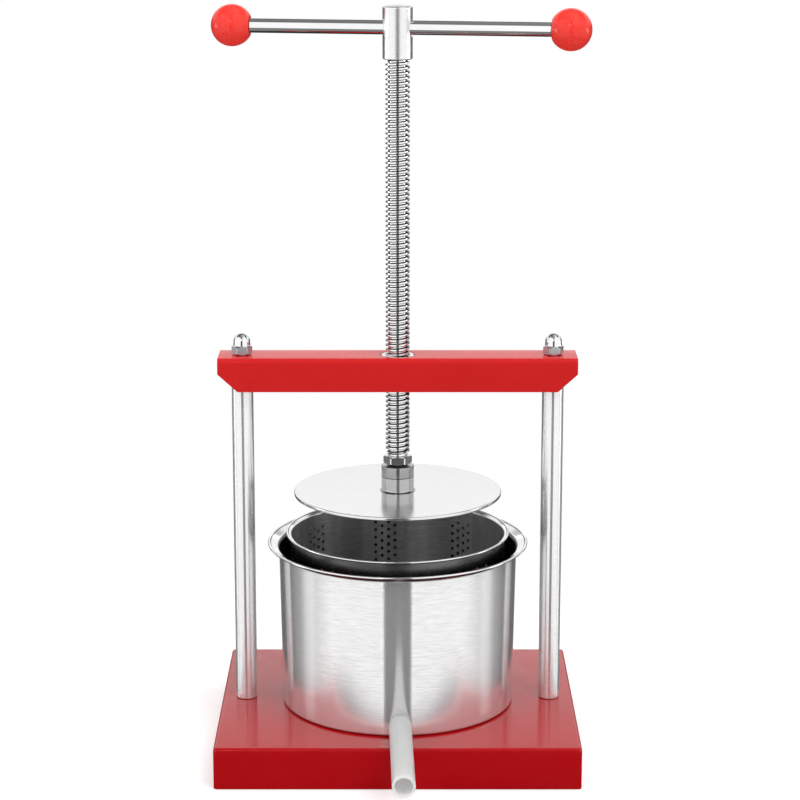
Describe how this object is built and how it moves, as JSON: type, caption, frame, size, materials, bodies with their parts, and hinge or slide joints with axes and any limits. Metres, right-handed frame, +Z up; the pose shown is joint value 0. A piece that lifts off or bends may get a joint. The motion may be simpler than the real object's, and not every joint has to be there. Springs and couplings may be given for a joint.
{
  "type": "fruit press",
  "caption": "Hand-cranked fruit press: tray base, posts and crossbeam, screw with T bar and ball knobs, swivelling plate, perforated basket and juice pot with outlet tube.",
  "frame": {"origin": "on the standing surface, under the middle of the whole press from the base's back edge to the outlet tube's end", "axes": "+Z up along the screw, -Y towards the user's side with the outlet, +X to the right seen from the outlet"},
  "size_m": [0.3082, 0.3592, 0.6228],
  "materials": {
    "red_paint": "gloss red powder coat",
    "red_plastic": "gloss moulded",
    "polished_steel": "bright plated",
    "nickel_plate": "nickel plated",
    "satin_steel": "satin",
    "brushed_steel": "brushed round the body",
    "hardened_steel": "turned, blackened",
    "bronze": "plain bearing bronze",
    "frosted_tube": "frosted, slightly translucent"
  },
  "bodies": {
    "frame": {"base": "red_paint", "crossbeam": "red_paint", "post_left": "polished_steel", "post_right": "polished_steel", "cap_nut_left": "nickel_plate", "cap_nut_right": "nickel_plate", "post_washer_left": "nickel_plate", "post_washer_right": "nickel_plate", "post_nut_left": "nickel_plate", "post_nut_right": "nickel_plate", "screw_bush": "nickel_plate"},
    "thrust": {"thrust_washer": "bronze"},
    "screw": {"press_screw": "polished_steel", "screw_head": "polished_steel", "lock_nut": "nickel_plate", "screw_foot": "hardened_steel"},
    "bar": {"handle_bar": "polished_steel", "ball_knob_left": "red_plastic", "ball_knob_right": "red_plastic"},
    "plate": {"press_plate": "satin_steel", "hub_socket": "satin_steel", "swivel_cap": "satin_steel"},
    "pot": {"juice_pot": "brushed_steel", "outlet_stub": "satin_steel", "outlet_tube": "frosted_tube"},
    "basket": {"basket": "brushed_steel"}
  },
  "joints": [
    {"name": "press_travel", "type": "slide", "parent": "frame", "child": "thrust", "axis": [0, 0, 1], "range_m": [-0.1771, 0.0561]},
    {"name": "screw_turn", "type": "hinge", "parent": "thrust", "child": "screw", "pos_m": [0, 0.05447, 0.224], "axis": [0, 0, 1], "range_deg": [-15930, 5040]},
    {"name": "plate_swivel", "type": "hinge", "parent": "thrust", "child": "plate", "pos_m": [0, 0.05447, 0.219], "axis": [0, 0, 1], "continuous": true},
    {"name": "bar_slide", "type": "slide", "parent": "screw", "child": "bar", "axis": [0.9877, -0.1564, 0], "range_m": [-0.1122, 0.1088]},
    {"name": "pot_slide", "type": "slide", "parent": "frame", "child": "pot", "axis": [0, -1, 0], "range_m": [0, 0.24]},
    {"name": "basket_turn", "type": "hinge", "parent": "pot", "child": "basket", "pos_m": [0, 0.05447, 0.0376], "axis": [0, 0, 1], "continuous": true}
  ],
  "couplings": [
    {"joint": "press_travel", "follows": "screw_turn", "m_per_rad": 0.00063662}
  ]
}
